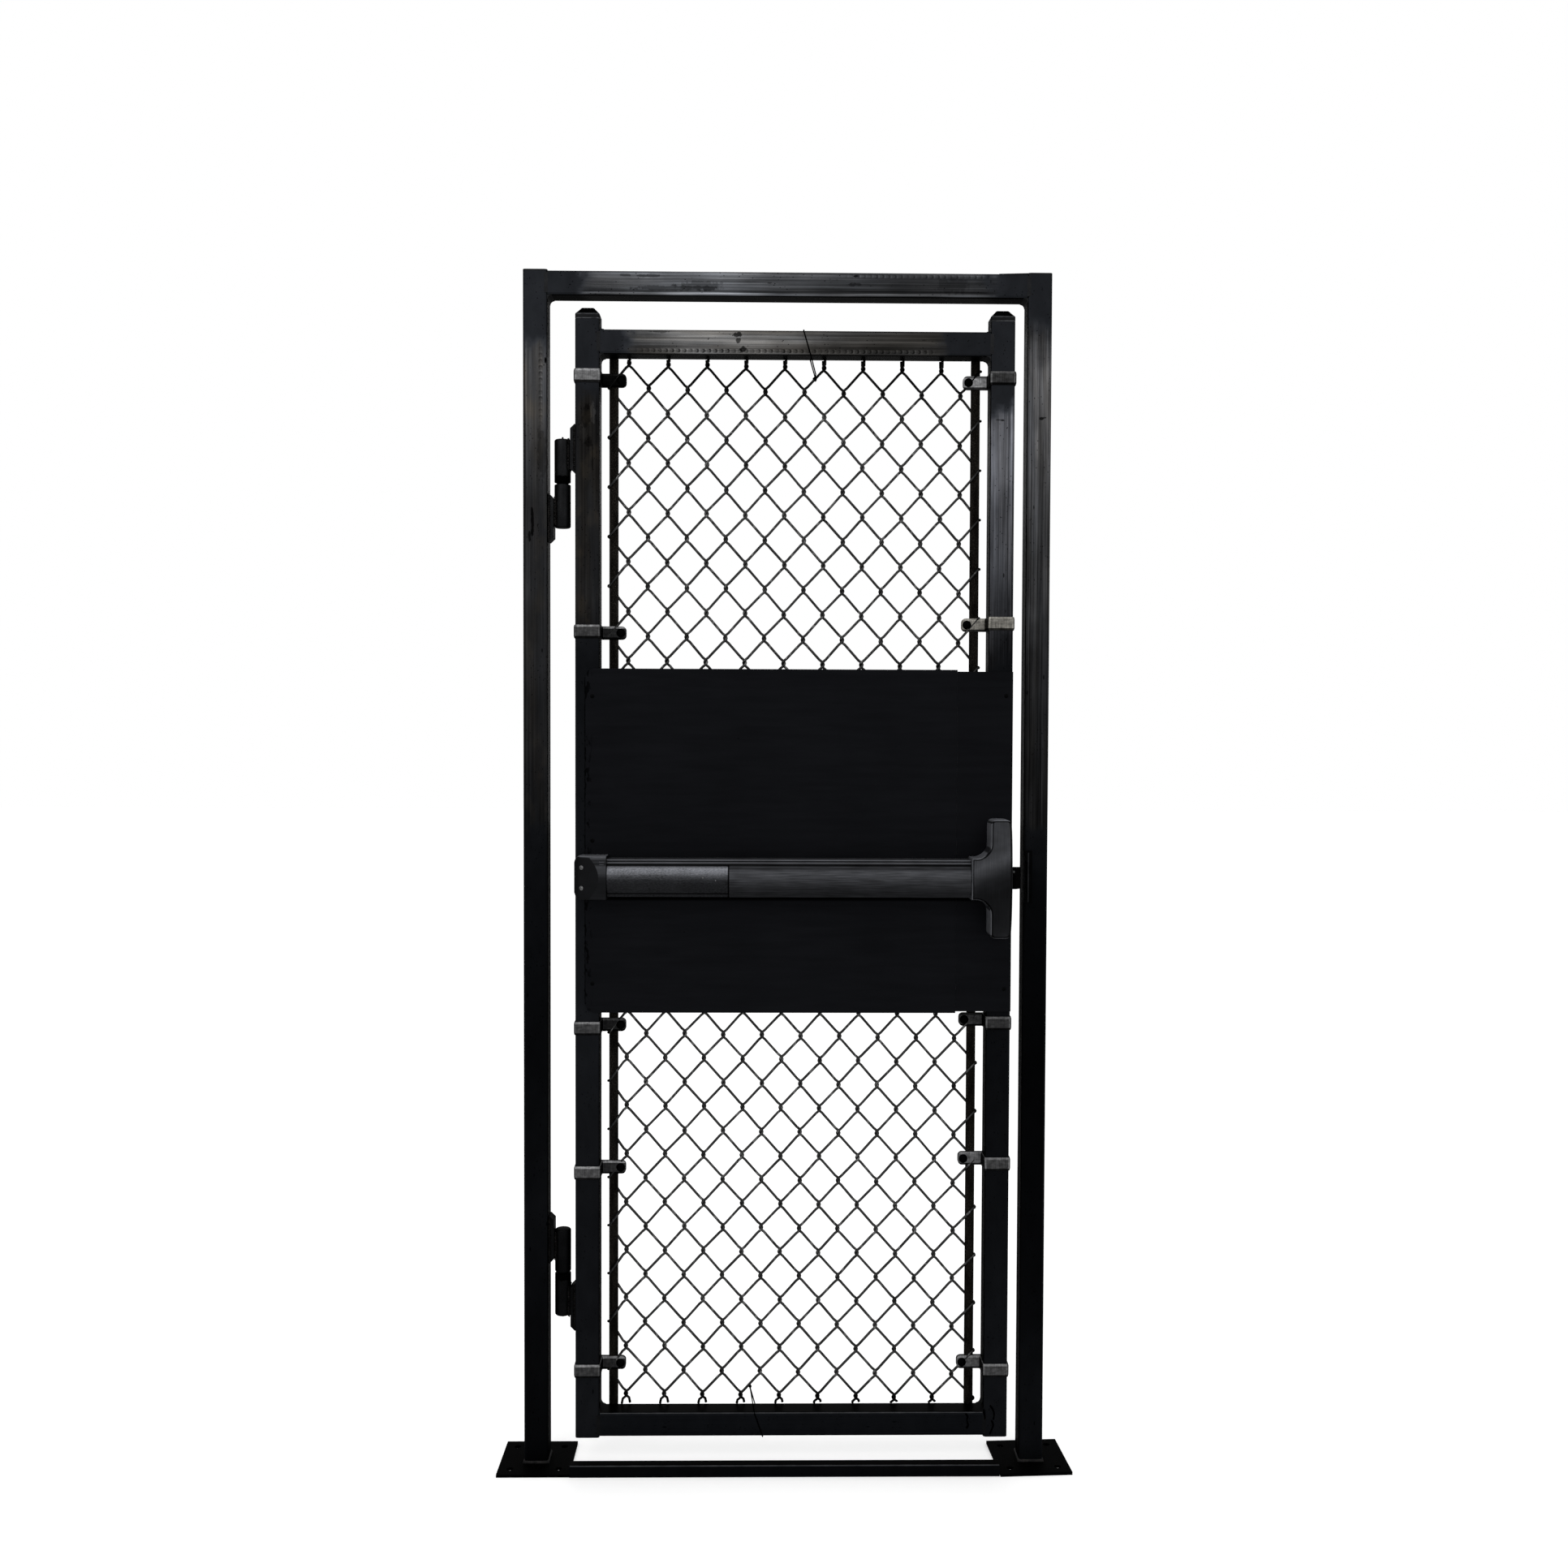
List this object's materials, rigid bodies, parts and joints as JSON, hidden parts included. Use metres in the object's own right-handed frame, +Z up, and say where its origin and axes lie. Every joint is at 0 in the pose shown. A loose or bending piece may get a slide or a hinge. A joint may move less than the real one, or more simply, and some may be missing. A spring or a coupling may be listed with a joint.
{
  "type": "chain link pedestrian gate with portal frame and push bar exit device",
  "caption": "Single leaf chain link gate in a welded square tube portal, with barrel hinges, a sheet panel and a push bar exit device.",
  "frame": {"origin": "centre of the underside of the hinge post's base plate", "axes": "+X from the hinge post to the latch post, -Y on the push bar side, +Z up"},
  "size_m": [1.204, 0.1711, 2.508],
  "materials": {
    "black_steel": "black satin paint, streaked and smudged along the tube",
    "black_panel": "matte black paint on sheet",
    "worn_band": "worn grey-black strap",
    "tension_bar": "speckled dark steel",
    "fabric_wire": "black coated wire",
    "device_black": "satin black powder coat",
    "latch_steel": "dark worn steel"
  },
  "bodies": {
    "frame": {"hinge_post": "black_steel", "hinge_post_top_plate": "black_steel", "hinge_post_base_plate": "black_steel", "latch_post": "black_steel", "latch_post_top_plate": "black_steel", "latch_post_base_plate": "black_steel", "header": "black_steel", "threshold": "black_steel", "upper_hinge_frame_barrel": "black_steel", "upper_hinge_frame_plate": "black_steel", "upper_hinge_pin": "latch_steel", "lower_hinge_frame_barrel": "black_steel", "lower_hinge_frame_plate": "black_steel", "lower_hinge_pin": "latch_steel", "latch_strike": "black_steel"},
    "leaf": {"hinge_stile": "black_steel", "hinge_stile_cap": "black_steel", "latch_stile": "black_steel", "latch_stile_cap": "black_steel", "top_rail": "black_steel", "bottom_rail": "black_steel", "upper_hinge_leaf_barrel": "black_steel", "upper_hinge_leaf_plate": "black_steel", "lower_hinge_leaf_barrel": "black_steel", "lower_hinge_leaf_plate": "black_steel", "hinge_side_tension_bar": "tension_bar", "latch_side_tension_bar": "tension_bar", "hinge_side_band_1": "worn_band", "hinge_side_band_2": "worn_band", "hinge_side_band_3": "worn_band", "hinge_side_band_4": "worn_band", "hinge_side_band_5": "worn_band", "latch_side_band_1": "worn_band", "latch_side_band_2": "worn_band", "latch_side_band_3": "worn_band", "latch_side_band_4": "worn_band", "latch_side_band_5": "worn_band", "chain_link_fabric": "fabric_wire", "centre_panel": "black_panel", "lock_panel": "black_panel", "exit_device_rail": "device_black", "exit_device_cover": "device_black", "exit_device_end_cap": "device_black", "exit_device_head": "device_black"},
    "push_pad": {"push_pad": "device_black"},
    "latch_bolt": {"latch_bolt": "latch_steel"}
  },
  "joints": [
    {"name": "leaf_swing", "type": "hinge", "parent": "frame", "child": "leaf", "pos_m": [0.05398, 0, 0], "axis": [0, 0, 1], "range_deg": [0, 90]},
    {"name": "pad_press", "type": "slide", "parent": "leaf", "child": "push_pad", "axis": [0, 1, 0], "range_m": [0, 0.012], "stiffness_N_per_m": 3000},
    {"name": "latch_retract", "type": "slide", "parent": "leaf", "child": "latch_bolt", "axis": [-1, 0, 0], "range_m": [0, 0.018]}
  ],
  "couplings": [
    {"joint": "latch_retract", "follows": "pad_press", "ratio": 1.5}
  ]
}
